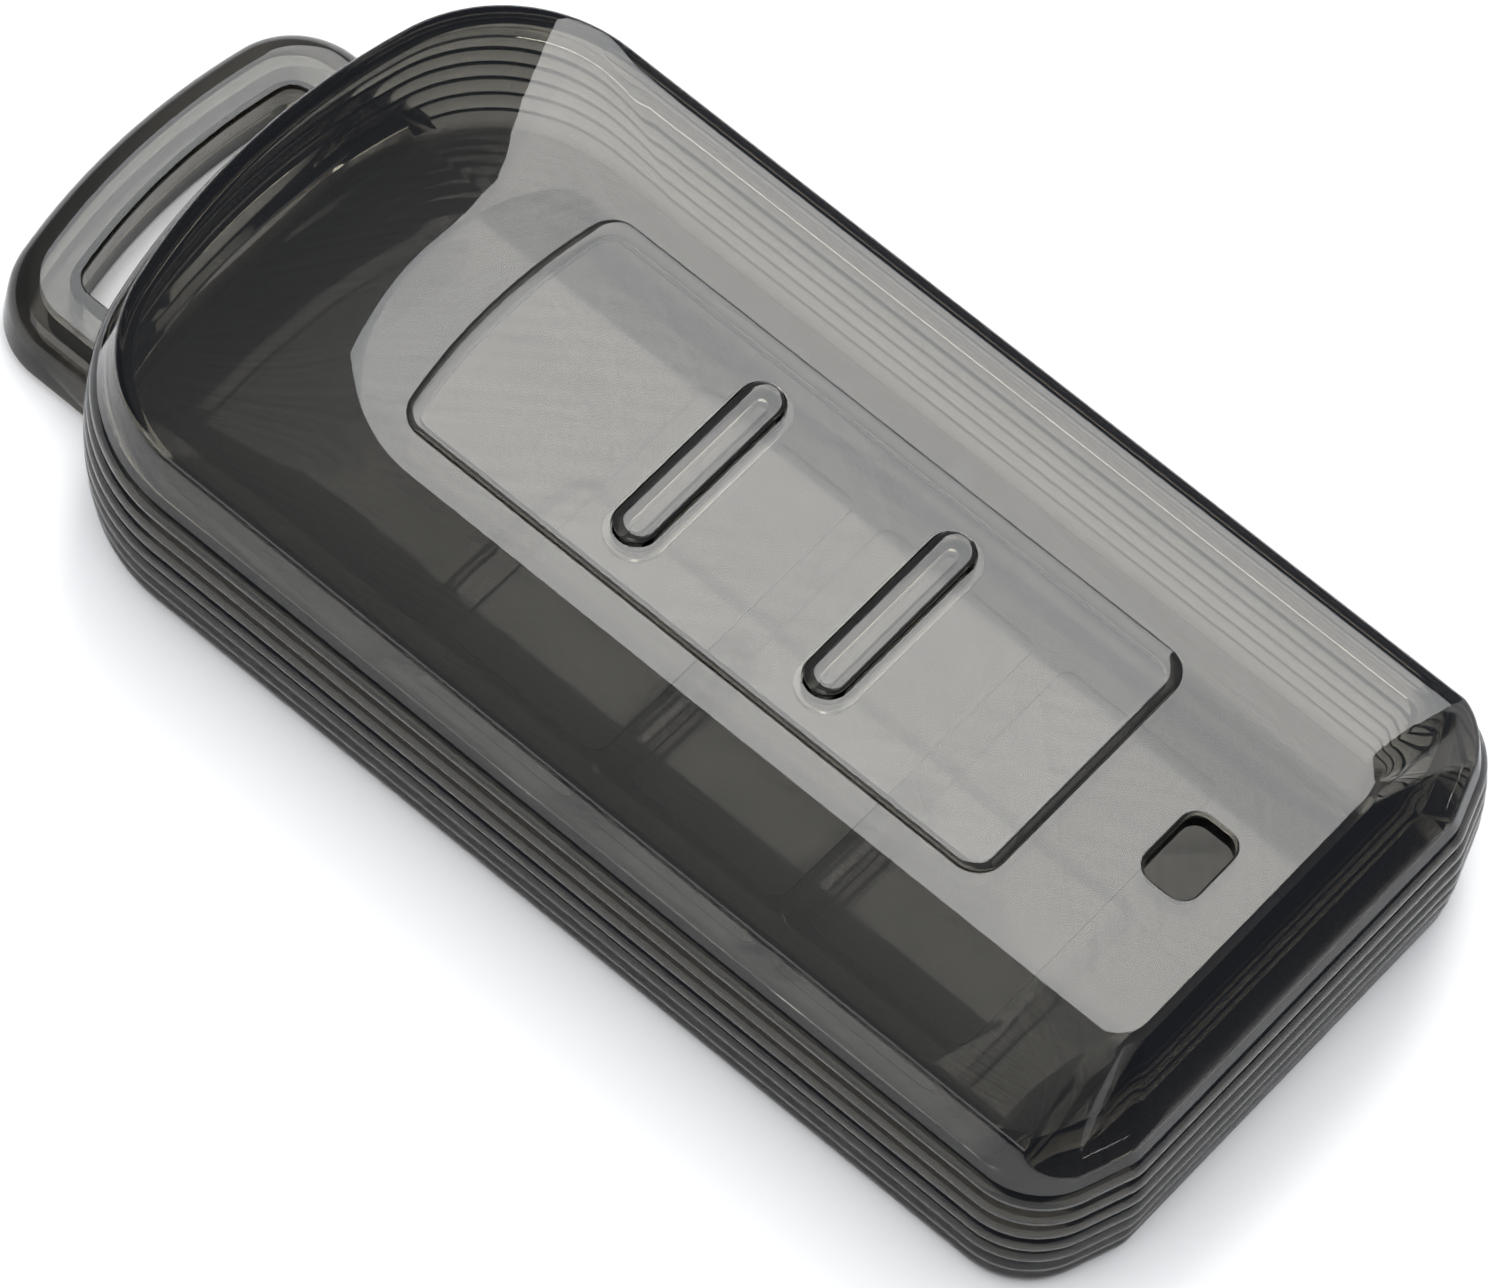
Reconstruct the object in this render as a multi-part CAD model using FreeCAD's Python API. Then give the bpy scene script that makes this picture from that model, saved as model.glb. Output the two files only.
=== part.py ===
"""Smoke-clear cover for a car key fob: a ribbed tub with a key-ring loop, a crowned lid,
a raised button panel and two press bars.

Millimetres. The cover lies on its back with +Z up. +Y points to the key-ring loop and the
origin is on the table under the middle of the whole length.
"""
import FreeCAD, Part
import math
import os

Vector = FreeCAD.Vector

# Whole cover
body_width = 40.0
body_length = 76.9
loop_reach = 8.1

# Plan of the ribbed tub at the crest of its ribs
end_facet_span = 6.6
end_facet_angle = 20.0
end_bend_radius = 7.0
end_corner_radius = 5.2
shoulder_radius = 11.6
crown_end_radius = 45.0

# Heights above the table
seam_height = 11.0
crease_height = 14.2
plateau_height = 16.1

# Tub, whose side bulges and draws in towards the seam and towards the foot
tub_wall = 1.5
floor_thickness = 1.5
side_widest = 6.0
seam_draw = 0.4
foot_draw = 0.7
foot_radius = 0.7
rib_count = 7
rib_depth = 0.34
rib_flank_inset = 0.1
rib_flank_share = 0.17
rim_bevel = 0.3

# Shallow fields in the floor, parted by crosswise bands
field_side_gap = 9.0
field_depth = 0.25
field_count = 3
field_length = 11.0
band_width = 2.0
fields_middle = -10.0
field_corner = 0.8

# Key-ring loop, a flat hollow sleeve low on the end wall
loop_side_gap = 6.3
loop_base = 0.4
loop_thickness = 3.4
loop_side_lean = 1.0
loop_corner = 5.0
loop_crown_radius = 44.0
loop_edge_radius = 1.5
loop_foot_radius = 0.5
loop_wall = 0.75
loop_side_wall = 1.7
loop_bar = 4.0
ring_slot_width = 4.75
ring_slot_bay = 1.5
ring_slot_end_bar = 4.8
ring_slot_corner = 1.3

# Lid
lid_step = 0.7
shoulder_lean = 1.2
end_crease_height = 13.3
end_crown_power = 1.15
crease_radius = 1.0
crease_turn_end = 38.0
lid_face = 1.3
lid_crease_wall = 1.35
inner_lean = 0.72
lid_end_wall = 3.9
tongue_clearance = 0.15
tongue_wall = 0.8
tongue_depth = 1.6
plateau_side_gap = 9.2
plateau_end_gap = 4.2
plateau_loop_gap = 13.4
plateau_facet_span = 1.4
plateau_bend_radius = 3.0
plateau_corner_radius = 1.2
plateau_shoulder_radius = 7.0
plateau_crown_radius = 16.0
crown_steps = 4
inner_crown_steps = 2

# Bands that make up each rounded edge
round_steps = 3

# Light window in the lid
window_width = 4.8
window_length = 3.3
window_corner = 1.0
window_y = -33.6

# Button panel
panel_side_gap = 2.0
panel_length = 42.2
panel_middle = -5.6
panel_rise = 0.3
panel_membrane = 0.9
panel_corner = 1.8
panel_crown_radius = 37.0
panel_edge_radius = 0.26
panel_ledge = 0.8
panel_gap = 0.06

# Press bars, hollow underneath
bar_end_gap = 2.45
bar_width = 2.6
bar_rise = 0.45
bar_edge_radius = 0.35
bar_wall = 0.9
bar_gap = 0.12
bar_flange = 0.5
bar_flange_thickness = 0.4
bar_seat_gap = 0.05
upper_bar_y = 0.7
lower_bar_y = -12.75

# Widths and positions worked out from the sizes
body_half_width = body_width / 2
end_flat_half = body_half_width - end_facet_span
field_half_width = body_half_width - field_side_gap
loop_half_width = body_half_width - loop_side_gap
ring_slot_half_length = loop_half_width - ring_slot_end_bar
plateau_half_width = body_half_width - plateau_side_gap
plateau_flat_half = plateau_half_width - plateau_facet_span
panel_half_width = plateau_half_width - panel_side_gap
bar_length = 2 * (panel_half_width - bar_end_gap)
end_y = -(body_length + loop_reach) / 2
loop_end_y = (body_length + loop_reach) / 2
body_top_y = end_y + body_length
panel_top = plateau_height + panel_rise
panel_underside = panel_top - panel_membrane
tongue_inset = tub_wall + tongue_clearance
lid_inner_inset = tongue_inset + tongue_wall
reach_through = 5.0

tub_plan = {
    "half_width": body_half_width,
    "bottom": end_y,
    "top": body_top_y,
    "flat_half": end_flat_half,
    "bend": end_bend_radius,
    "corner": end_corner_radius,
    "shoulder": shoulder_radius,
    "crown": crown_end_radius,
}

plateau_plan = {
    "half_width": plateau_half_width,
    "bottom": end_y + plateau_end_gap,
    "top": body_top_y - plateau_loop_gap,
    "flat_half": plateau_flat_half,
    "bend": plateau_bend_radius,
    "corner": plateau_corner_radius,
    "shoulder": plateau_shoulder_radius,
    "crown": plateau_crown_radius,
}


def line(a, b):
    return Part.makeLine(a, b)


def arc(a, middle, b):
    return Part.Arc(a, middle, b).toShape()


def polar(centre, radius, angle):
    return centre + Vector(radius * math.cos(angle), radius * math.sin(angle), 0)


def mirrored(point):
    return Vector(-point.x, point.y, point.z)


def closed_wire(right_side, crown_middle):
    """Closes a wire from the points of its right side, ((start, middle of arc or None), ...).

    The last point starts an arc over the crown to its own mirror image.
    """
    edges = [line(mirrored(right_side[0][0]), right_side[0][0])]
    back = []
    for (a, middle), (b, _) in zip(right_side, right_side[1:]):
        if middle is None:
            edges.append(line(a, b))
            back.append(line(mirrored(b), mirrored(a)))
        else:
            edges.append(arc(a, middle, b))
            back.append(arc(mirrored(b), mirrored(middle), mirrored(a)))
    last = right_side[-1][0]
    edges.append(arc(last, crown_middle, mirrored(last)))
    return Part.Wire(edges + back[::-1])


def crowned_top(half_width, top, shoulder, crown, z):
    """Right-hand points of an arched end with its shoulder arc, and the middle of the arch."""
    arch_centre = Vector(0, top - crown, z)
    across = half_width - shoulder
    along = math.sqrt((crown - shoulder) ** 2 - across**2)
    shoulder_centre = arch_centre + Vector(across, along, 0)
    turn = math.atan2(along, across)
    points = [
        (polar(shoulder_centre, shoulder, 0), polar(shoulder_centre, shoulder, turn / 2)),
        (polar(arch_centre, crown, turn), None),
    ]
    return points, Vector(0, top, z)


def body_wire(plan, z):
    """Plan of the cover: flat end with slanted facets, straight sides, arched loop end."""
    slant = math.radians(end_facet_angle)
    half_width, bottom = plan["half_width"], plan["bottom"]
    bend, corner = plan["bend"], plan["corner"]
    bend_cut = bend * math.tan(slant / 2)
    corner_cut = corner * math.tan((math.pi / 2 - slant) / 2)
    along_facet = Vector(math.cos(slant), math.sin(slant), 0)
    bend_point = Vector(plan["flat_half"], bottom, z)
    rise = (half_width - plan["flat_half"]) * math.tan(slant)
    corner_point = Vector(half_width, bottom + rise, z)
    bend_centre = bend_point + Vector(-bend_cut, bend, 0)
    corner_centre = corner_point + Vector(-corner, corner_cut, 0)
    low = [
        (bend_point - Vector(bend_cut, 0, 0), polar(bend_centre, bend, (slant - math.pi) / 2)),
        (bend_point + along_facet * bend_cut, None),
        (corner_point - along_facet * corner_cut, polar(corner_centre, corner, slant / 2 - math.pi / 4)),
        (corner_point + Vector(0, corner_cut, 0), None),
    ]
    high, arch = crowned_top(half_width, plan["top"], plan["shoulder"], plan["crown"], z)
    return closed_wire(low + high, arch)


def inset_plan(plan, depth):
    """The same plan drawn in by depth all round."""
    slant = math.radians(end_facet_angle)
    return {
        "half_width": plan["half_width"] - depth,
        "bottom": plan["bottom"] + depth,
        "top": plan["top"] - depth,
        "flat_half": plan["flat_half"] - depth * math.tan(slant / 2),
        "bend": plan["bend"] - depth,
        "corner": plan["corner"] - depth,
        "shoulder": plan["shoulder"] - depth,
        "crown": plan["crown"] - depth,
    }


def mixed_plan(outer, inner, share):
    return {name: outer[name] * (1 - share) + inner[name] * share for name in outer}


def arched_wire(half_width, bottom, top, corner, crown, z, bottom_corner=None):
    """Rounded rectangle whose +Y edge is an arch."""
    low_corner = corner if bottom_corner is None else bottom_corner
    centre = Vector(half_width - low_corner, bottom + low_corner, z)
    low = [
        (centre - Vector(0, low_corner, 0), polar(centre, low_corner, -math.pi / 4)),
        (centre + Vector(low_corner, 0, 0), None),
    ]
    high, arch = crowned_top(half_width, top, corner, crown, z)
    return closed_wire(low + high, arch)


def round_box(half_x, half_y, corner, centre, height):
    """Upright block with rounded corners, standing on the centre of its base."""
    base = Part.makeBox(2 * half_x, 2 * half_y, height, centre - Vector(half_x, half_y, 0))
    upright = [e for e in base.Edges if abs(e.tangentAt(e.FirstParameter).z) > 0.5]
    return base.makeFillet(corner, upright)


def slab(wire, height):
    return Part.Face(wire).extrude(Vector(0, 0, height))


def stacked(wire_at, levels):
    """Solid through wires at the given (height, inset) levels, with straight sides between them."""
    return Part.makeLoft([wire_at(inset, z) for z, inset in levels], True, True)


def rounded_up(z, radius):
    """Levels of a lower edge: from drawn in by radius at z to the full plan at z + radius."""
    turns = [math.pi / 2 * step / round_steps for step in range(round_steps + 1)]
    return [(z + radius * (1 - math.cos(a)), radius * (1 - math.sin(a))) for a in turns]


def rounded_off(z, radius):
    """Levels of an upper edge: from the full plan at z - radius to drawn in by radius at z."""
    return [(2 * z - level, inset) for level, inset in rounded_up(z, radius)][::-1]


def pill_wire(length, width, y, z):
    half, radius = (length - width) / 2, width / 2
    right, left = Vector(half, y, z), Vector(-half, y, z)
    up = Vector(0, radius, 0)
    out = Vector(radius, 0, 0)
    return Part.Wire([
        line(left - up, right - up),
        arc(right - up, right + out, right + up),
        line(right + up, left + up),
        arc(left + up, left - out, left - up),
    ])


def side_draw(z):
    """How far the bulging side wall has drawn in at height z."""
    if z > side_widest:
        return seam_draw * ((z - side_widest) / (seam_height - side_widest)) ** 2
    return foot_draw * ((side_widest - z) / side_widest) ** 2


def tub_wire(inset, z):
    return body_wire(inset_plan(tub_plan, inset), z)


def side_wire(inset, z):
    return tub_wire(inset + side_draw(z), z)


def ribbed_side():
    """Outside of the tub: a rounded foot, the stack of horizontal ribs and a bevelled rim."""
    levels = [(z, inset + rib_flank_inset) for z, inset in rounded_up(0, foot_radius)]
    pitch = (seam_height - foot_radius) / rib_count
    for rib in range(rib_count):
        start = foot_radius + rib * pitch
        if rib > 0:
            levels += [(start, rib_depth), (start + pitch * rib_flank_share, rib_flank_inset)]
        levels += [(start + pitch / 2, 0), (start + pitch * (1 - rib_flank_share), rib_flank_inset)]
    levels.append((seam_height, rim_bevel))
    return stacked(side_wire, levels)


def loop_wire(inset, z):
    """Plan of the loop, whose sides lean in towards its top."""
    root_y = body_top_y - shoulder_radius - tub_wall
    half_width = loop_half_width - loop_side_lean * (z - loop_base) / loop_thickness
    return arched_wire(
        half_width - inset, root_y, loop_end_y - inset,
        loop_corner - inset, loop_crown_radius - inset, z, loop_wall,
    )


def slot_wire(offset, z):
    """Plan of the ring slot, arched like the loop's end; offset widens it all round."""
    outer_y = loop_end_y - loop_bar
    return arched_wire(
        ring_slot_half_length + offset, outer_y - ring_slot_width - offset, outer_y + offset,
        ring_slot_corner + offset, loop_crown_radius - loop_bar + offset, z,
    )


def key_ring_loop():
    """Flat sleeve low on the end wall, its ring slot with a bay above it, and the pocket inside."""
    loop_top = loop_base + loop_thickness
    levels = rounded_up(loop_base, loop_foot_radius) + rounded_off(loop_top, loop_edge_radius)
    body = stacked(loop_wire, levels)
    slot_base = loop_base - reach_through
    slot_height = reach_through + loop_thickness + ring_slot_bay
    slot = slab(slot_wire(0, slot_base), slot_height)
    sheath = slab(slot_wire(loop_wall, slot_base), slot_height)
    pocket_height = loop_top - loop_wall - floor_thickness
    pocket = slab(loop_wire(loop_side_wall, floor_thickness), pocket_height)
    return body, slot, pocket.cut(sheath)


def floor_fields():
    """Shallow rectangles sunk into the floor, side by side along the length."""
    pitch = field_length + band_width
    first = fields_middle - pitch * (field_count - 1) / 2
    base_z = floor_thickness - field_depth
    return [
        round_box(
            field_half_width, field_length / 2, field_corner,
            Vector(0, first + pitch * n, base_z), field_depth + reach_through,
        )
        for n in range(field_count)
    ]


def back_shell():
    shell = ribbed_side()
    loop, slot, pocket = key_ring_loop()
    inside = [
        (floor_thickness, tub_wall + side_draw(floor_thickness)),
        (side_widest, tub_wall),
        (seam_height + reach_through, tub_wall),
    ]
    hollow = stacked(tub_wire, inside)
    shell = shell.fuse(loop).cut(hollow)
    return shell.cut([slot, pocket] + floor_fields()).removeSplitter()


def crown_levels(rim_plan, rim_height, top_height, steps):
    """Heights and plans of a crown that leaves the rim at a slope and runs out level at the plateau."""
    levels = []
    for step in range(steps + 1):
        share = step / steps
        rise = (top_height - rim_height) * (1 - (1 - share) ** 2)
        levels.append((rim_height + rise, mixed_plan(rim_plan, plateau_plan, share)))
    return levels


def end_inset(z):
    """How far the lid's flat end has drawn in at height z: a shoulder, then a nearly straight chamfer."""
    lean = shoulder_lean / (crease_height - seam_height)
    if z <= end_crease_height:
        return lid_step + lean * (z - seam_height)
    start = lid_step + lean * (end_crease_height - seam_height)
    left = (plateau_height - z) / (plateau_height - end_crease_height)
    return plateau_end_gap + (start - plateau_end_gap) * left ** (1 / end_crown_power)


def lid_block(levels, end_at):
    """Solid through plans at the given heights, each with its flat end where end_at puts it."""
    wires = [body_wire({**plan, "bottom": end_at(z)}, z) for z, plan in levels]
    return Part.makeLoft(wires, True, True)


def crease_levels():
    """Levels of the lid's side: the leaning shoulder, then the turn over the crease."""
    lean = math.atan2(crease_height - seam_height, shoulder_lean)
    turn_end = math.radians(crease_turn_end)
    cut = crease_radius * math.tan((lean - turn_end) / 2)
    start = Vector(lid_step + shoulder_lean - cut * math.cos(lean), crease_height - cut * math.sin(lean), 0)
    centre = start + Vector(math.sin(lean), -math.cos(lean), 0) * crease_radius
    levels = [(seam_height, inset_plan(tub_plan, lid_step))]
    for step in range(round_steps + 1):
        slope = lean + (turn_end - lean) * step / round_steps
        point = centre + Vector(-math.sin(slope), math.cos(slope), 0) * crease_radius
        levels.append((point.y, inset_plan(tub_plan, point.x)))
    return levels


def lid_outside():
    levels = crease_levels()
    rim_height, rim_plan = levels.pop()
    levels += crown_levels(rim_plan, rim_height, plateau_height, crown_steps)
    return lid_block(levels, lambda z: end_y + end_inset(z))


def lid_inside():
    """Room inside the lid, which stops short of the flat end and leaves a thick wall there."""
    low_plan = inset_plan(tub_plan, lid_inner_inset)
    high_plan = inset_plan(tub_plan, lid_inner_inset + inner_lean)
    inner_crease = crease_height - lid_crease_wall
    bottom = seam_height - tongue_depth - reach_through
    levels = [(bottom, low_plan), (seam_height, low_plan)]
    levels += crown_levels(high_plan, inner_crease, plateau_height - lid_face, inner_crown_steps)
    return lid_block(levels, lambda z: end_y + lid_end_wall)


def panel_wire(inset, z):
    half_length = panel_length / 2
    return arched_wire(
        panel_half_width - inset, panel_middle - half_length + inset, panel_middle + half_length - inset,
        panel_corner - inset, panel_crown_radius - inset, z,
    )


def front_shell():
    tongue_base = seam_height - tongue_depth
    tongue = slab(tub_wire(tongue_inset, tongue_base), tongue_depth)
    shell = lid_outside().fuse(tongue).cut(lid_inside())
    opening = slab(panel_wire(panel_ledge, crease_height - reach_through), 2 * reach_through)
    light_base = Vector(0, window_y, crease_height - reach_through)
    light = round_box(window_width / 2, window_length / 2, window_corner, light_base, 2 * reach_through)
    return shell.cut([opening, light]).removeSplitter()


def button_panel():
    cap = stacked(panel_wire, [(plateau_height, 0)] + rounded_off(panel_top, panel_edge_radius))
    plug = slab(panel_wire(panel_ledge + panel_gap, panel_underside), plateau_height - panel_underside)
    slots = [
        slab(bar_wire(y, -bar_gap, panel_underside - reach_through), 2 * reach_through)
        for y in (upper_bar_y, lower_bar_y)
    ]
    return cap.fuse(plug).cut(slots).removeSplitter()


def bar_wire(y, inset, z):
    return pill_wire(bar_length - 2 * inset, bar_width - 2 * inset, y, z)


def press_bar(y):
    """Pill-shaped bar through the panel, kept in by a flange under the membrane."""
    top = panel_top + bar_rise
    flange_top = panel_underside - bar_seat_gap
    flange_base = flange_top - bar_flange_thickness
    levels = [(flange_base, 0)] + rounded_off(top, bar_edge_radius)
    stem = stacked(lambda inset, z: bar_wire(y, inset, z), levels)
    flange = slab(bar_wire(y, -bar_flange, flange_base), bar_flange_thickness)
    hollow = slab(bar_wire(y, bar_wall, flange_base), top - bar_wall - flange_base)
    return stem.fuse(flange).cut(hollow).removeSplitter()


nodes = {
    "back_shell": back_shell(),
    "front_shell": front_shell(),
    "button_panel": button_panel(),
    "upper_button": press_bar(upper_bar_y),
    "lower_button": press_bar(lower_bar_y),
}

os.makedirs("parts", exist_ok=True)
for name, shape in nodes.items():
    shape.exportStep("parts/" + name + ".step")
    box = shape.BoundBox
    print(name, "solids", len(shape.Solids), "valid", shape.isValid(), "volume", round(shape.Volume, 1),
          "faces", len(shape.Faces),
          "box", [round(v, 2) for v in (box.XMin, box.XMax, box.YMin, box.YMax, box.ZMin, box.ZMax)])
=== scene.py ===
"""Looks of the smoke-clear key fob cover: smooth shells, materials, studio and camera."""

import math

import bpy
from mathutils import Matrix, Vector


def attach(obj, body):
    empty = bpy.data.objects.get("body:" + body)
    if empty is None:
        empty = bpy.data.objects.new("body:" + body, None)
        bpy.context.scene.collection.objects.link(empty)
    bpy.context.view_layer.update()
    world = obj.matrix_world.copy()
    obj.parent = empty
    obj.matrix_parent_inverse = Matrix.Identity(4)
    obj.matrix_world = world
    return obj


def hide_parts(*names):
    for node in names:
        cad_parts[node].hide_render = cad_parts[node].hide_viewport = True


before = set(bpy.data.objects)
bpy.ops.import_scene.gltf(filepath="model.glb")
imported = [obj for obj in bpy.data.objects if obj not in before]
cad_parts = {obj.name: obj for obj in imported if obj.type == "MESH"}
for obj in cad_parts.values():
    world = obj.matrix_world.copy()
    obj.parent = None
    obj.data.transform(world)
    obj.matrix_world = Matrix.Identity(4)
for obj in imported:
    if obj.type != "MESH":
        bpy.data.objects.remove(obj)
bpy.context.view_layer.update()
scene = bpy.context.scene

# Camera as read from the photo
image_width = 1500
focal_pixels = 10187.47
sensor_width = 36.0
camera_azimuth = math.radians(-55.695)
camera_elevation = math.radians(61.137)
camera_roll = math.radians(7.697)
camera_aim = Vector((-0.002575, -0.005861, 0.0080))
camera_distance = 0.547839
camera_near = 0.01
camera_far = 20.0

# Sizes of the shells, in millimetres
millimetre = 0.001
tub_plan = {
    "half_width": 20.0, "bottom": -42.5, "top": 34.4, "flat_half": 13.4,
    "bend": 3.2, "corner": 5.2, "shoulder": 11.6, "crown": 45.0,
}
plateau_plan = {
    "half_width": 10.8, "bottom": -38.2, "top": 20.2, "flat_half": 9.4,
    "bend": 3.0, "corner": 1.2, "shoulder": 8.5, "crown": 16.0,
}
end_facet_angle = math.radians(20.0)
seam_height = 11.0
crease_height = 14.0
plateau_height = 16.1
tub_wall = 1.5
floor_thickness = 1.5
floor_corner = 0.5
side_widest = 6.0
seam_draw = 0.4
foot_draw = 0.7
foot_radius = 0.7
foot_inset = 0.1
rib_count = 7
rib_depth = 0.34
rim_bevel = 0.3
field_half_width = 11.0
field_depth = 0.25
field_length = 11.0
field_middles = (-23.0, -10.0, 3.0)
field_corner = 0.8
loop_half_width = 13.7
loop_side_lean = 1.0
loop_root = 21.3
loop_end = 42.5
loop_base = 0.4
loop_top = 3.8
loop_corner = 5.0
loop_crown = 44.0
loop_edge = 1.5
loop_foot = 0.5
loop_wall = 0.75
loop_side_wall = 1.7
slot_half_length = 8.9
slot_inner = 33.75
slot_outer = 38.5
slot_corner = 1.3
slot_crown = 40.0
slot_round = 0.4
slot_top = 5.3
lid_step = 0.7
shoulder_lean = 1.0
crease_corner = 1.6
lid_face = 1.3
lid_crease_wall = 1.35
tongue_inset = 1.6
lid_inner_inset = 1.9
lid_inner_lean = 0.85
lid_inner_end = -38.6
tongue_base = 10.2
window_half_width = 2.4
window_half_length = 1.65
window_corner = 1.0
window_round = 0.5
rim_round_end = math.radians(55.0)
window_middle = -33.6
panel_half_width = 8.8
panel_bottom = -26.7
panel_end = 15.5
panel_top = 16.4
panel_underside = 15.5
panel_corner = 1.8
panel_crown = 37.0
panel_edge = 0.26
panel_spread = 0.5
panel_ledge = 0.8
bar_length = 12.7
bar_width = 2.6
bar_top = 16.85
bar_edge = 0.35
bar_spread = 0.4
bar_wall = 0.9
bar_gap = 0.12
bar_flange = 0.5
bar_flange_base = 15.05
bar_flange_top = 15.45
upper_bar_middle = 0.7
lower_bar_middle = -12.75
level_margin = 0.12
reach = 5.0

# Shares and powers that set how the creases, crowns and raised edges run
end_crease_drop_share = 0.7
crease_share = 0.10
crown_share = 0.03
side_crown_power = 2.0
end_crown_power = 1.0
loop_crown_power = 1.5
panel_shift_share = 0.6
panel_end_share = 1.2
bar_shift_share = 0.5

# Fineness of the smooth shells
end_steps = 6
bend_steps = 6
facet_steps = 3
corner_steps = 16
side_steps = 18
shoulder_steps = 20
arch_steps = 8
rib_steps = 12
edge_steps = 8
crease_steps = 12
crown_steps = 28
quarter_steps = 10
pill_steps = 24
sharp_angle = math.radians(32.0)

# Smoke plastic
tub_density = 760.0
lid_density = 740.0
smoke_tint = (0.118, 0.093, 0.02, 1.0)
tub_index = 1.42
lid_index = 1.47
shadow_pass = 0.80
tub_roughness = (0.01, 0.04)
lid_roughness = (0.005, 0.02)
bar_roughness = (0.01, 0.03)
tint_scale = 140.0
tint_detail = 3.0
tint_stops = (0.35, 0.7)
tint_dull = (0.95, 0.95, 0.94, 1.0)
tint_clear = (1.0, 1.0, 1.0, 1.0)
gloss_scale = 420.0
gloss_detail = 4.0
gloss_stops = (0.3, 0.75)
ripple_scale = 60.0
ripple_detail = 1.0
ripple_strength = 0.01
ripple_height = 0.0001

# Table and sky
table_size = 6.0
paper_scale = 30.0
paper_detail = 3.0
paper_stops = (0.3, 0.7)
paper_light = (0.90, 0.90, 0.90, 1.0)
paper_dark = (0.88, 0.88, 0.88, 1.0)
sky_low = (0.26, 0.28, 0.34, 1.0)
sky_high = (0.76, 0.77, 0.78, 1.0)
sky_low_rise = 0.60
sky_high_rise = 0.97

# Lamps, in metres, each light as its strength and colour
lamp_height = 1.0
softbox_start = 0.40
strip_start = 0.4715
slope_start = 0.487
slope_end = 1.52
softbox_low = 0.175
softbox_high = 0.392
loop_lamp_high = 0.456
softbox_corners = (
    (softbox_start, softbox_low, lamp_height),
    (strip_start, softbox_low, lamp_height),
    (softbox_start, softbox_high, lamp_height),
)
softbox_light = (6.6, (1.0, 0.995, 0.985))
strip_corners = (
    (strip_start, softbox_low, lamp_height),
    (slope_start, softbox_low, lamp_height),
    (strip_start, softbox_high, lamp_height),
)
strip_light = (4.9, (0.97, 0.985, 1.0))
loop_lamp_corners = (
    (softbox_start, softbox_high, lamp_height),
    (slope_start, softbox_high, lamp_height),
    (softbox_start, loop_lamp_high, lamp_height),
)
loop_lamp_light = (5.0, (0.94, 0.97, 1.0))
slope_fall = 0.635
slope_outline = (
    (slope_start, softbox_low), (slope_end, softbox_low), (slope_end, 0.80), (0.925, 0.735),
    (0.80, 0.71), (0.708, 0.683), (0.628, 0.640), (0.555, 0.565), (slope_start, loop_lamp_high),
)
slope_strength = 6.9
slope_near = (1.0, 0.995, 0.985, 1.0)
slope_far = (0.50, 0.51, 0.53, 1.0)
slope_fade = (0.25, 1.0)
fill_corners = ((-1.25, -0.6, 0.75), (-1.25, 1.2, 0.75), (-0.95, -0.6, 1.15))
fill_light = (2.0, (1.0, 1.0, 1.0))
ceiling_corners = ((-1.5, -1.5, 2.0), (1.5, -1.5, 2.0), (-1.5, 1.5, 2.0))
ceiling_light = (1.6, (1.0, 1.0, 1.0))


def flat(x, y):
    return Vector((x, y))


def straight(a, b, count):
    """Points from a towards b, without b."""
    return [a.lerp(b, n / count) for n in range(count)]


def turn(centre, radius, start, end, count):
    """Points along an arc, without its end."""
    angles = [start + (end - start) * n / count for n in range(count)]
    return [centre + radius * flat(math.cos(a), math.sin(a)) for a in angles]


def mirrored_outline(right_side, top):
    """Closed outline from its right-hand points, which start in the middle of the flat end."""
    left_side = [flat(-p.x, p.y) for p in reversed(right_side[1:])]
    return right_side + [flat(0, top)] + left_side


def arched_end(side_start, half_width, top, shoulder, crown):
    """Right-hand points of a straight side, its shoulder arc and half of the arched end."""
    across = half_width - shoulder
    along = math.sqrt((crown - shoulder) ** 2 - across**2)
    arch_centre = flat(0, top - crown)
    shoulder_centre = arch_centre + flat(across, along)
    swing = math.atan2(along, across)
    points = straight(side_start, shoulder_centre + flat(shoulder, 0), side_steps)
    points += turn(shoulder_centre, shoulder, 0, swing, shoulder_steps)
    points += turn(arch_centre, crown, swing, math.pi / 2, arch_steps)
    return points


def body_outline(plan):
    """Plan of the cover: flat end with slanted facets, straight sides, arched loop end."""
    half_width, bottom, bend, corner = plan["half_width"], plan["bottom"], plan["bend"], plan["corner"]
    bend_cut = bend * math.tan(end_facet_angle / 2)
    corner_cut = corner * math.tan((math.pi / 2 - end_facet_angle) / 2)
    facet = flat(math.cos(end_facet_angle), math.sin(end_facet_angle))
    bend_point = flat(plan["flat_half"], bottom)
    rise = (half_width - plan["flat_half"]) * math.tan(end_facet_angle)
    corner_point = flat(half_width, bottom + rise)
    bend_start = bend_point - flat(bend_cut, 0)
    side_start = corner_point + flat(0, corner_cut)
    low = end_facet_angle - math.pi / 2
    points = straight(flat(0, bottom), bend_start, end_steps)
    points += turn(bend_start + flat(0, bend), bend, -math.pi / 2, low, bend_steps)
    points += straight(bend_point + facet * bend_cut, corner_point - facet * corner_cut, facet_steps)
    points += turn(side_start - flat(corner, 0), corner, low, 0, corner_steps)
    points.append(side_start)
    straight_start = side_start + flat(0, level_margin)
    points += arched_end(straight_start, half_width, plan["top"], plan["shoulder"], plan["crown"])
    return mirrored_outline(points, plan["top"])


def inset_plan(plan, depth):
    return {
        "half_width": plan["half_width"] - depth,
        "bottom": plan["bottom"] + depth,
        "top": plan["top"] - depth,
        "flat_half": plan["flat_half"] - depth * math.tan(end_facet_angle / 2),
        "bend": plan["bend"] - depth,
        "corner": plan["corner"] - depth,
        "shoulder": plan["shoulder"] - depth,
        "crown": plan["crown"] - depth,
    }


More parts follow.
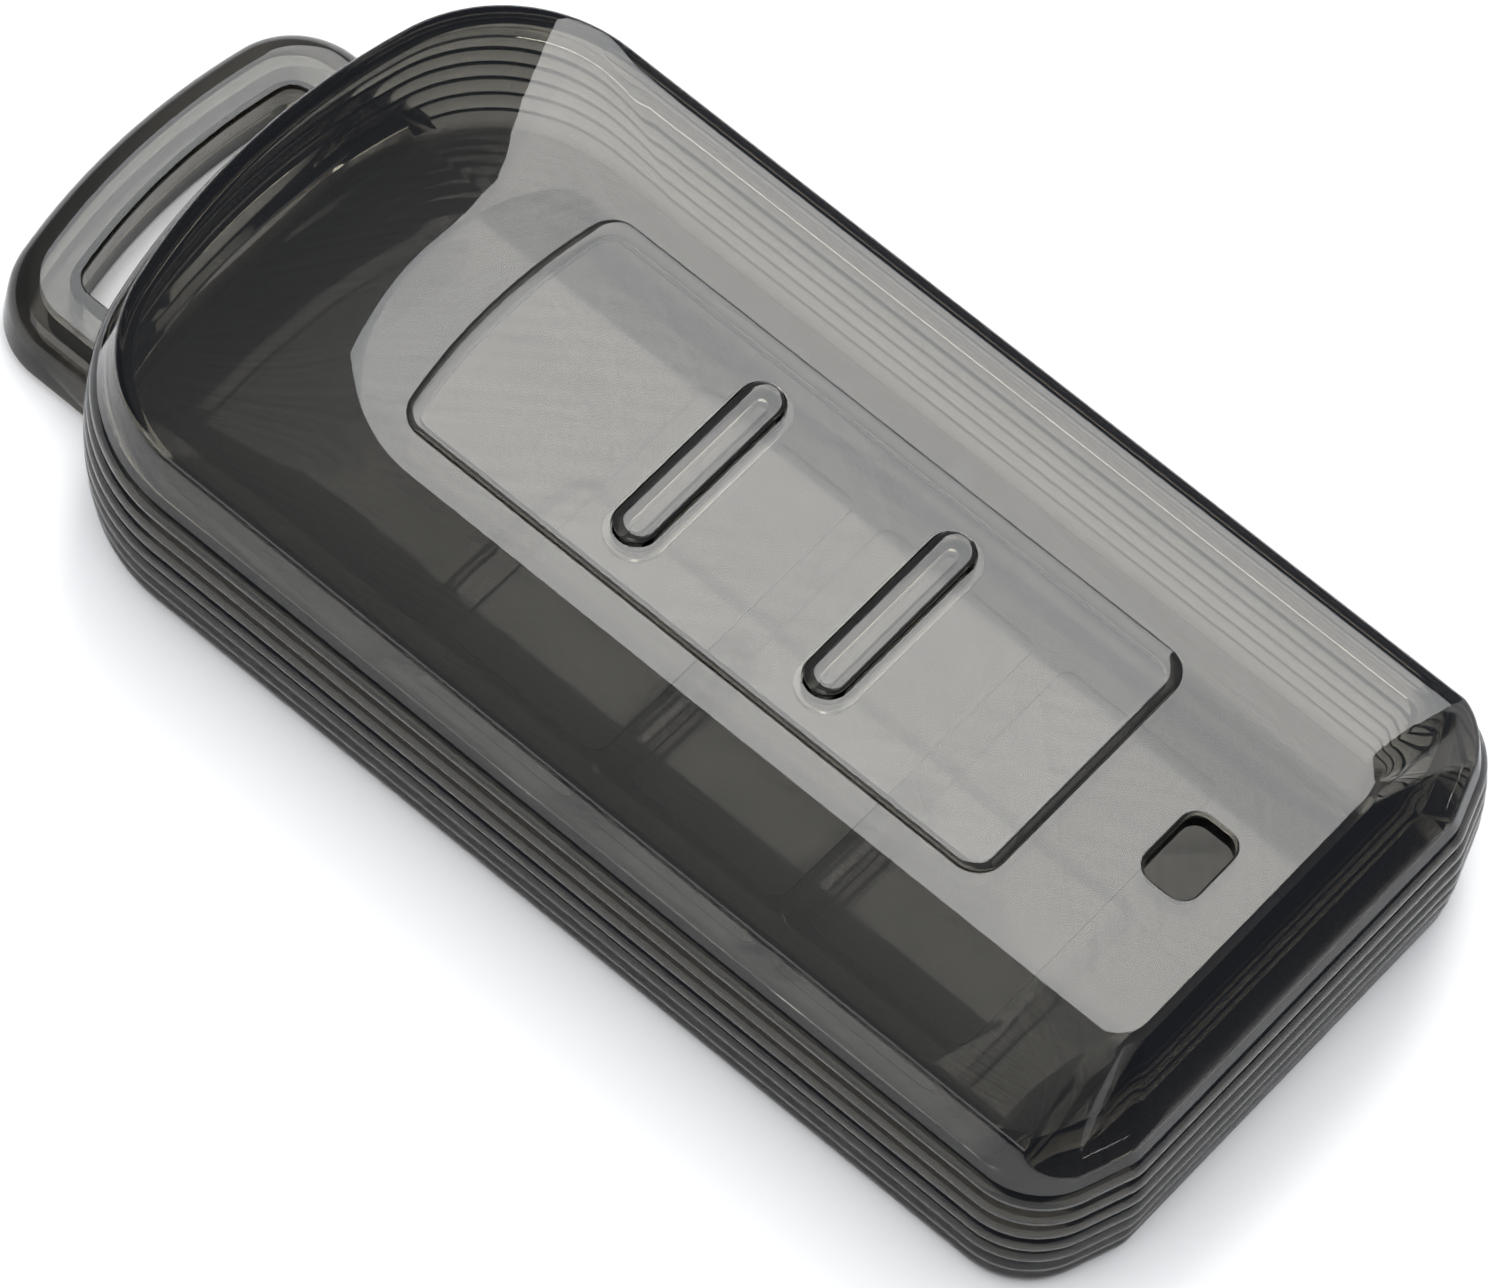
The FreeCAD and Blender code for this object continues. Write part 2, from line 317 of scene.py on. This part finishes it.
def arched_outline(half_width, bottom, top, low_corner, corner, crown):
    """Rounded rectangle whose +Y edge is an arch."""
    corner_centre = flat(half_width - low_corner, bottom + low_corner)
    points = straight(flat(0, bottom), flat(half_width - low_corner, bottom), end_steps)
    points += turn(corner_centre, low_corner, -math.pi / 2, 0, corner_steps)
    points += arched_end(corner_centre + flat(low_corner, 0), half_width, top, corner, crown)
    return mirrored_outline(points, top)


def rectangle_outline(half_x, half_y, corner, middle):
    """Rectangle with rounded corners about a middle on the Y axis."""
    points = []
    for quarter, (side_x, side_y) in enumerate(((1, -1), (1, 1), (-1, 1), (-1, -1))):
        centre = flat(side_x * (half_x - corner), middle + side_y * (half_y - corner))
        start = (quarter - 1) * math.pi / 2
        end = start + math.pi / 2
        points += turn(centre, corner, start, end, quarter_steps)
        points.append(centre + corner * flat(math.cos(end), math.sin(end)))
    return points


def pill_outline(inset, middle):
    """Plan of a press bar, drawn in by the inset, about a middle on the Y axis."""
    half = (bar_length - bar_width) / 2
    radius = bar_width / 2 - inset
    right = turn(flat(half, middle), radius, -math.pi / 2, math.pi / 2, pill_steps)
    left = turn(flat(-half, middle), radius, math.pi / 2, 3 * math.pi / 2, pill_steps)
    return right + [flat(half, middle + radius)] + left + [flat(-half, middle - radius)]


def ring(outline, height):
    return [Vector((p.x, p.y, height)) for p in outline]


def body_ring(inset, height):
    return ring(body_outline(inset_plan(tub_plan, inset)), height)


def side_draw(z):
    """How far the bulging side wall has drawn in at height z."""
    if z > side_widest:
        return seam_draw * ((z - side_widest) / (seam_height - side_widest)) ** 2
    return foot_draw * ((side_widest - z) / side_widest) ** 2


def rounded_up(z, radius):
    """Levels of a lower edge: from drawn in by radius at z to the full outline at z + radius."""
    turns = [math.pi / 2 * step / edge_steps for step in range(edge_steps + 1)]
    return [(z + radius * (1 - math.cos(a)), radius * (1 - math.sin(a))) for a in turns]


def rounded_off(z, radius):
    """Levels of an upper edge, ended by a level margin that keeps the face above it flat."""
    levels = [(2 * z - level, inset) for level, inset in rounded_up(z, radius)][::-1]
    return levels + [(z, radius + level_margin)]


def stack(name, rings):
    """Closed mesh through rings of as many points each."""
    count = len(rings[0])
    corners = [p for points in rings for p in points]
    faces = [tuple(range(count - 1, -1, -1))]
    for level in range(len(rings) - 1):
        low, high = level * count, (level + 1) * count
        for n in range(count):
            after = (n + 1) % count
            faces.append((low + n, low + after, high + after, high + n))
    faces.append(tuple(range(len(corners) - count, len(corners))))
    mesh = bpy.data.meshes.new(name)
    mesh.from_pydata(corners, [], faces)
    piece = bpy.data.objects.new(name, mesh)
    scene.collection.objects.link(piece)
    return piece


def block(outline, base, top):
    return stack("block", [ring(outline, base), ring(outline, top)])


def combine(piece, tool, operation):
    """Joins the tool to the piece, or cuts it out of it, and clears the tool away."""
    step = piece.modifiers.new("combine", "BOOLEAN")
    step.operation = operation
    step.solver = "EXACT"
    step.object = tool
    graph = bpy.context.evaluated_depsgraph_get()
    piece.data = bpy.data.meshes.new_from_object(piece.evaluated_get(graph))
    piece.modifiers.clear()
    bpy.data.objects.remove(tool)


def join(piece, tool):
    combine(piece, tool, "UNION")


def cut(piece, tool):
    combine(piece, tool, "DIFFERENCE")


def settle(piece, material, body, slot, *nodes):
    """Brings a finished shell to metres, smooths it, dresses it and lets it stand for its nodes."""
    mesh = piece.data
    mesh.transform(Matrix.Scale(millimetre, 4))
    mesh.shade_smooth()
    mesh.set_sharp_from_angle(angle=sharp_angle)
    mesh.materials.clear()
    mesh.materials.append(material)
    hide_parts(*nodes)
    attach(piece, body)


def side_levels():
    """Levels of the tub's outside: rounded foot, soft ribs and a bevelled rim."""
    foot = rounded_up(0, foot_radius)
    levels = [(0, foot_radius + foot_inset + level_margin)]
    levels += [(z, inset + foot_inset) for z, inset in foot[:-1]]
    pitch = (seam_height - foot_radius) / rib_count
    for rib in range(rib_count):
        low_depth = foot_inset if rib == 0 else rib_depth
        high_depth = rim_bevel if rib == rib_count - 1 else rib_depth
        for step in range(rib_steps):
            across = 2 * step / rib_steps - 1
            depth = low_depth if across < 0 else high_depth
            levels.append((foot_radius + pitch * (rib + step / rib_steps), depth * across**2))
    levels.append((seam_height, rim_bevel))
    return levels


def loop_ring(inset, z):
    """Ring of the loop, whose sides lean in towards its top."""
    half_width = loop_half_width - loop_side_lean * (z - loop_base) / (loop_top - loop_base)
    return ring(arched_outline(
        half_width - inset, loop_root, loop_end - inset,
        loop_wall, loop_corner - inset, loop_crown - inset,
    ), z)


def slot_ring(offset, z):
    return ring(arched_outline(
        slot_half_length + offset, slot_inner - offset, slot_outer + offset,
        slot_corner + offset, slot_corner + offset, slot_crown + offset,
    ), z)


def window_ring(offset, z):
    return ring(rectangle_outline(
        window_half_width + offset, window_half_length + offset, window_corner + offset, window_middle,
    ), z)


def flared(name, ring_at, base, rim, top, radius):
    """Cutting tool from base to top that flares out over a rounded rim."""
    depth = radius * math.sin(rim_round_end)
    rings = [ring_at(0, base)]
    for step in range(edge_steps + 1):
        angle = rim_round_end * step / edge_steps
        rings.append(ring_at(radius * (1 - math.cos(angle)), rim - depth + radius * math.sin(angle)))
    rings.append(ring_at(radius * (1 - math.cos(rim_round_end)), top))
    return stack(name, rings)


def tub_shell():
    tub = stack("tub", [body_ring(inset + side_draw(z), z) for z, inset in side_levels()])
    loop_levels = rounded_up(loop_base, loop_foot) + rounded_off(loop_top, loop_edge)
    join(tub, stack("loop", [loop_ring(inset, z) for z, inset in loop_levels]))
    floor_levels = rounded_up(floor_thickness, floor_corner)
    hollow_levels = [(z, tub_wall + side_draw(z) + inset) for z, inset in floor_levels]
    hollow_levels += [(side_widest, tub_wall), (seam_height + reach, tub_wall)]
    cut(tub, stack("hollow", [body_ring(inset, z) for z, inset in hollow_levels]))
    cut(tub, flared("slot", slot_ring, -reach, loop_top, slot_top, slot_round))
    pocket_heights = (floor_thickness, loop_top - loop_wall)
    pocket = stack("pocket", [loop_ring(loop_side_wall, z) for z in pocket_heights])
    cut(pocket, stack("sheath", [slot_ring(loop_wall, -reach), slot_ring(loop_wall, slot_top)]))
    cut(tub, pocket)
    for middle in field_middles:
        field = rectangle_outline(field_half_width, field_length / 2, field_corner, middle)
        cut(tub, block(field, floor_thickness - field_depth, floor_thickness + reach))
    return tub


def end_weights():
    """How much each point of a body outline belongs to the flat end: one there, fading round its corners."""
    end_points = end_steps + bend_steps + facet_steps
    right_side = [1.0] * end_points + [1 - n / corner_steps for n in range(corner_steps)]
    right_side += [0.0] * (1 + side_steps + shoulder_steps + arch_steps)
    return right_side + [0.0] + right_side[:0:-1]


def loop_weights():
    """How much each point of a body outline belongs to the arched loop end, fading round its shoulders."""
    end_points = end_steps + bend_steps + facet_steps + corner_steps
    right_side = [0.0] * (end_points + 1 + side_steps)
    right_side += [n / shoulder_steps for n in range(shoulder_steps)] + [1.0] * arch_steps
    return right_side + [1.0] + right_side[:0:-1]


def crown_ring(rim, top, share):
    """Ring a share of the way up a crown, which runs out level at the sides and steeper at the ends."""
    points = []
    for a, b, end, loop in zip(rim, top, end_weights(), loop_weights()):
        power = side_crown_power * (1 - end - loop) + end_crown_power * end + loop_crown_power * loop
        point = a.lerp(b, share)
        point.z = a.z + (b.z - a.z) * (1 - (1 - share) ** power)
        points.append(point)
    return points


def lid_rings():
    """Rings of the lid's outside: leaning shoulder, soft crease, crown and flat plateau."""
    seam = body_ring(lid_step, seam_height)
    crease_plan = inset_plan(tub_plan, lid_step + shoulder_lean)
    crease_plan["corner"] = crease_corner
    high = ring(body_outline(crease_plan), crease_height)
    crease = [
        a.lerp(b, 1 - end_crease_drop_share * weight)
        for a, b, weight in zip(seam, high, end_weights())
    ]
    plateau = ring(body_outline(plateau_plan), plateau_height)
    below = [a.lerp(b, 1 - crease_share) for a, b in zip(seam, crease)]
    above = crown_ring(crease, plateau, crown_share)
    rings = [seam]
    for step in range(crease_steps + 1):
        share = step / crease_steps
        rings.append([
            a.lerp(b, share).lerp(b.lerp(c, share), share)
            for a, b, c in zip(below, crease, above)
        ])
    for step in range(1, crown_steps + 1):
        share = crown_share + (1 - crown_share) * step / crown_steps
        rings.append(crown_ring(crease, plateau, share))
    rings.append(ring(body_outline(inset_plan(plateau_plan, level_margin)), plateau_height))
    return rings


def lid_inside_rings():
    low_plan = inset_plan(tub_plan, lid_inner_inset)
    low_plan["bottom"] = lid_inner_end
    high_plan = inset_plan(tub_plan, lid_inner_inset + lid_inner_lean)
    high_plan["bottom"] = lid_inner_end
    rings = [ring(body_outline(low_plan), tongue_base - reach), ring(body_outline(low_plan), seam_height)]
    inner_crease = ring(body_outline(high_plan), crease_height - lid_crease_wall)
    inner_top = ring(body_outline(plateau_plan), plateau_height - lid_face)
    for step in range(crease_steps + 1):
        rings.append(crown_ring(inner_crease, inner_top, step / crease_steps))
    return rings


def panel_outline(inset):
    return arched_outline(
        panel_half_width - inset, panel_bottom + inset, panel_end - inset,
        panel_corner - inset, panel_corner - inset, panel_crown - inset,
    )


def raised_ring(share, z):
    """Ring of the panel's edge, which is steep at its near side and soft at its far side and end."""
    inset = panel_spread * share
    outline = arched_outline(
        panel_half_width - inset, panel_bottom + panel_end_share * inset, panel_end - inset,
        panel_corner - inset, panel_corner - inset, panel_crown - inset,
    )
    return [Vector((p.x - panel_shift_share * inset, p.y, z)) for p in outline]


def lid_shell():
    lid = stack("lid", lid_rings())
    tongue = body_outline(inset_plan(tub_plan, tongue_inset))
    join(lid, block(tongue, tongue_base, seam_height + tub_wall))
    cut(lid, stack("inside", lid_inside_rings()))
    panel_levels = [(panel_underside, 0)] + rounded_off(panel_top, panel_edge)
    join(lid, stack("panel", [raised_ring(inset / panel_edge, z) for z, inset in panel_levels]))
    cut(lid, block(panel_outline(panel_ledge), panel_underside - reach, panel_underside))
    for middle in (upper_bar_middle, lower_bar_middle):
        cut(lid, block(pill_outline(-bar_gap, middle), panel_underside - reach, panel_top + reach))
    rim = plateau_height
    cut(lid, flared("window", window_ring, rim - reach, rim, rim + reach, window_round))
    return lid


def raised_bar_ring(share, middle, z):
    """Ring of a bar's edge, which is softer on its loop side."""
    inset = bar_spread * share
    return ring(pill_outline(inset, middle - bar_shift_share * inset), z)


def press_bar(name, middle):
    seat = (bar_flange_base + bar_flange_top) / 2
    levels = [(seat, 0)] + rounded_off(bar_top, bar_edge)
    bar = stack(name, [raised_bar_ring(inset / bar_edge, middle, z) for z, inset in levels])
    join(bar, block(pill_outline(-bar_flange, middle), bar_flange_base, bar_flange_top))
    cut(bar, block(pill_outline(bar_wall, middle), bar_flange_base - reach, bar_top - bar_wall))
    return bar


def new_material(name):
    material = bpy.data.materials.new(name)
    material.use_nodes = True
    tree = material.node_tree
    tree.nodes.clear()
    return material, tree


def add(tree, kind):
    return tree.nodes.new(kind)


def noise(tree, scale, detail, coordinates):
    node = add(tree, "ShaderNodeTexNoise")
    node.inputs["Scale"].default_value = scale
    node.inputs["Detail"].default_value = detail
    tree.links.new(coordinates, node.inputs["Vector"])
    return node.outputs["Fac"]


def ramp(tree, source, low, high, low_colour, high_colour):
    node = add(tree, "ShaderNodeValToRGB")
    node.color_ramp.elements[0].position = low
    node.color_ramp.elements[1].position = high
    node.color_ramp.elements[0].color = low_colour
    node.color_ramp.elements[1].color = high_colour
    tree.links.new(source, node.inputs["Fac"])
    return node.outputs["Color"]


def mix(tree, factor, first, second):
    node = add(tree, "ShaderNodeMixShader")
    tree.links.new(factor, node.inputs["Fac"])
    tree.links.new(first, node.inputs[1])
    tree.links.new(second, node.inputs[2])
    return node.outputs["Shader"]


def smoke_plastic(name, density, index, roughness):
    """Clear gloss plastic whose body takes light away along its depth."""
    material, tree = new_material(name)
    place = add(tree, "ShaderNodeTexCoord").outputs["Object"]
    plastic = add(tree, "ShaderNodeBsdfPrincipled")
    plastic.inputs["IOR"].default_value = index
    plastic.inputs["Transmission Weight"].default_value = 1.0

    cloud = noise(tree, tint_scale, tint_detail, place)
    tint = ramp(tree, cloud, *tint_stops, tint_dull, tint_clear)
    tree.links.new(tint, plastic.inputs["Base Color"])

    gloss = add(tree, "ShaderNodeMapRange")
    gloss.inputs["From Min"].default_value = gloss_stops[0]
    gloss.inputs["From Max"].default_value = gloss_stops[1]
    gloss.inputs["To Min"].default_value = roughness[0]
    gloss.inputs["To Max"].default_value = roughness[1]
    tree.links.new(noise(tree, gloss_scale, gloss_detail, place), gloss.inputs["Value"])
    tree.links.new(gloss.outputs["Result"], plastic.inputs["Roughness"])

    bump = add(tree, "ShaderNodeBump")
    bump.inputs["Strength"].default_value = ripple_strength
    bump.inputs["Distance"].default_value = ripple_height
    tree.links.new(noise(tree, ripple_scale, ripple_detail, place), bump.inputs["Height"])
    tree.links.new(bump.outputs["Normal"], plastic.inputs["Normal"])

    clear = add(tree, "ShaderNodeBsdfTransparent")
    clear.inputs["Color"].default_value = (shadow_pass, shadow_pass, shadow_pass, 1.0)
    rays = add(tree, "ShaderNodeLightPath")
    surface = mix(tree, rays.outputs["Is Shadow Ray"], plastic.outputs["BSDF"], clear.outputs["BSDF"])

    smoke = add(tree, "ShaderNodeVolumeAbsorption")
    smoke.inputs["Color"].default_value = smoke_tint
    smoke.inputs["Density"].default_value = density

    out = add(tree, "ShaderNodeOutputMaterial")
    tree.links.new(surface, out.inputs["Surface"])
    tree.links.new(smoke.outputs["Volume"], out.inputs["Volume"])
    return material


def table_material():
    """White paper with a faint cloud in its tone."""
    material, tree = new_material("white_table")
    place = add(tree, "ShaderNodeTexCoord").outputs["Object"]
    cloud = noise(tree, paper_scale, paper_detail, place)
    paper = ramp(tree, cloud, *paper_stops, paper_dark, paper_light)
    diffuse = add(tree, "ShaderNodeBsdfDiffuse")
    tree.links.new(paper, diffuse.inputs["Color"])
    out = add(tree, "ShaderNodeOutputMaterial")
    tree.links.new(diffuse.outputs["BSDF"], out.inputs["Surface"])
    return material


def area_light(name, corners, light):
    """Rectangular lamp by three corners: low-left, low-right and high-left as the part sees it."""
    radiance, colour = light
    origin, right, up = (Vector(c) for c in corners)
    across, along = right - origin, up - origin
    lamp = bpy.data.lights.new(name, "AREA")
    lamp.shape = "RECTANGLE"
    lamp.size = across.length
    lamp.size_y = along.length
    x_axis = across.normalized()
    z_axis = x_axis.cross(along).normalized()
    y_axis = z_axis.cross(x_axis)
    centre = origin + (across + along) / 2
    if z_axis.dot(centre) < 0:
        x_axis, z_axis = -x_axis, -z_axis
    lamp.color = colour
    lamp.energy = radiance * math.pi * lamp.size * lamp.size_y
    holder = bpy.data.objects.new(name, lamp)
    holder.matrix_world = Matrix.Translation(centre) @ Matrix((x_axis, y_axis, z_axis)).transposed().to_4x4()
    scene.collection.objects.link(holder)
    return holder


def sheet_light(name, points):
    """Glowing sheet that the far slope mirrors; it fades towards its far end."""
    mesh = bpy.data.meshes.new(name)
    mesh.from_pydata(points, [], [tuple(range(len(points)))])
    material, tree = new_material(name)
    glow = add(tree, "ShaderNodeEmission")
    glow.inputs["Strength"].default_value = slope_strength
    place = add(tree, "ShaderNodeSeparateXYZ")
    tree.links.new(add(tree, "ShaderNodeTexCoord").outputs["Generated"], place.inputs["Vector"])
    tree.links.new(ramp(tree, place.outputs["X"], *slope_fade, slope_near, slope_far), glow.inputs["Color"])
    out = add(tree, "ShaderNodeOutputMaterial")
    tree.links.new(glow.outputs["Emission"], out.inputs["Surface"])
    mesh.materials.append(material)
    sheet = bpy.data.objects.new(name, mesh)
    scene.collection.objects.link(sheet)
    sheet.visible_camera = False


tub_smoke = smoke_plastic("smoke_tub", tub_density, tub_index, tub_roughness)
lid_smoke = smoke_plastic("smoke_lid", lid_density, lid_index, lid_roughness)
button_smoke = smoke_plastic("smoke_button", lid_density, lid_index, bar_roughness)
settle(tub_shell(), tub_smoke, "tub", "smoke_tub", "back_shell")
settle(lid_shell(), lid_smoke, "lid", "smoke_lid", "front_shell", "button_panel")
settle(press_bar("upper_bar", upper_bar_middle), button_smoke, "upper_press", "smoke_button", "upper_button")
settle(press_bar("lower_bar", lower_bar_middle), button_smoke, "lower_press", "smoke_button", "lower_button")

# Table
bpy.ops.mesh.primitive_plane_add(size=table_size, location=(0.0, 0.0, 0.0))
table = bpy.context.object
table.name = "table"
table.data.materials.append(table_material())

# Lamps
area_light("softbox", softbox_corners, softbox_light)
area_light("softbox_strip", strip_corners, strip_light)
area_light("softbox_loop", loop_lamp_corners, loop_lamp_light)
slope_points = [(x, y, lamp_height - slope_fall * (x - slope_start)) for x, y in slope_outline]
sheet_light("softbox_slope", slope_points)
area_light("fill", fill_corners, fill_light)
ceiling = area_light("ceiling", ceiling_corners, ceiling_light)
ceiling.visible_glossy = False
ceiling.visible_transmission = False

# Sky that is dark round the sides and brightens overhead
world = bpy.data.worlds.new("studio")
world.use_nodes = True
sky = world.node_tree
direction = add(sky, "ShaderNodeTexCoord").outputs["Generated"]
rise = add(sky, "ShaderNodeSeparateXYZ")
sky.links.new(direction, rise.inputs["Vector"])
shade = ramp(sky, rise.outputs["Z"], sky_low_rise, sky_high_rise, sky_low, sky_high)
sky.links.new(shade, sky.nodes["Background"].inputs["Color"])
scene.world = world

# Camera
back = Vector((
    math.sin(camera_azimuth) * math.cos(camera_elevation),
    -math.cos(camera_azimuth) * math.cos(camera_elevation),
    math.sin(camera_elevation),
))
level_right = (-back).cross(Vector((0.0, 0.0, 1.0))).normalized()
level_up = level_right.cross(-back)
right = level_right * math.cos(camera_roll) + level_up * math.sin(camera_roll)
up = level_up * math.cos(camera_roll) - level_right * math.sin(camera_roll)
camera_data = bpy.data.cameras.new("camera")
camera_data.sensor_width = sensor_width
camera_data.lens = focal_pixels * sensor_width / image_width
camera_data.clip_start = camera_near
camera_data.clip_end = camera_far
camera = bpy.data.objects.new("camera", camera_data)
camera.matrix_world = (
    Matrix.Translation(camera_aim + back * camera_distance)
    @ Matrix((right, up, back)).transposed().to_4x4()
)
scene.collection.objects.link(camera)
scene.camera = camera

scene.view_settings.view_transform = "Standard"
